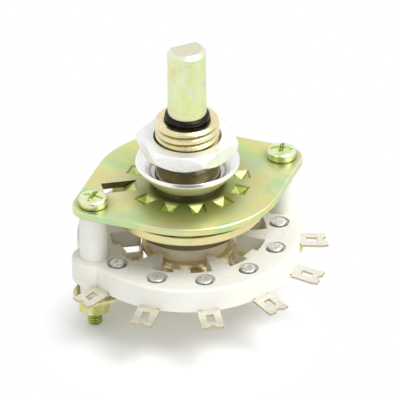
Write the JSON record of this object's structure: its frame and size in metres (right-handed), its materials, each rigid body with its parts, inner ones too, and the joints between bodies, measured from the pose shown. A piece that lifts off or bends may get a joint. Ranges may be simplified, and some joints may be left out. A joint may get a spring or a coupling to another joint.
{
  "type": "rotary selector switch",
  "caption": "Panel rotary selector switch: D-flat shaft in a threaded bush, eared index plate with pressed pits, and a ceramic contact wafer with riveted solder lugs clamped under it.",
  "frame": {"origin": "shaft axis at the top face of the index plate, where the bush stands on it", "axes": "+Z along the shaft to the knob end, X through the two clamp screws"},
  "size_m": [0.0428, 0.0386, 0.0452],
  "materials": {
    "yellow_zinc": "yellow zinc passivate, iridescent",
    "tan_zinc": "tan zinc passivate",
    "bright_zinc": "bright plated steel",
    "black_steel": "black oxide",
    "ceramic": "matt white steatite",
    "phenolic": "dark moulded phenolic",
    "spring_steel": "spring steel",
    "ball_steel": "polished steel",
    "rivet_metal": "plain rivet",
    "silvered_brass": "silver plated"
  },
  "bodies": {
    "switch_body": {"clamp_nuts": "yellow_zinc", "clamp_screws": "yellow_zinc", "common_terminal": "silvered_brass", "contact_rivets": "rivet_metal", "index_plate": "yellow_zinc", "lower_spacer_left": "ceramic", "lower_spacer_right": "ceramic", "mounting_nut": "bright_zinc", "mounting_washer": "bright_zinc", "rear_strap": "yellow_zinc", "stator": "ceramic", "threaded_bush": "tan_zinc", "throw_terminal_1": "silvered_brass", "throw_terminal_2": "silvered_brass", "throw_terminal_3": "silvered_brass", "throw_terminal_4": "silvered_brass", "throw_terminal_5": "silvered_brass", "throw_terminal_6": "silvered_brass", "upper_spacer_left": "ceramic", "upper_spacer_right": "ceramic"},
    "rotor": {"shaft": "yellow_zinc", "retaining_ring": "black_steel", "detent_disc": "tan_zinc", "detent_ball_a": "ball_steel", "detent_ball_b": "ball_steel", "detent_spring": "spring_steel", "insulating_disc": "phenolic", "rotor_drum": "ceramic", "rotor_contact": "silvered_brass"}
  },
  "joints": [
    {"name": "shaft_turn", "type": "hinge", "parent": "switch_body", "child": "rotor", "pos_m": [0, 0, 0], "axis": [0, 0, 1], "range_deg": [-60, 90]}
  ]
}
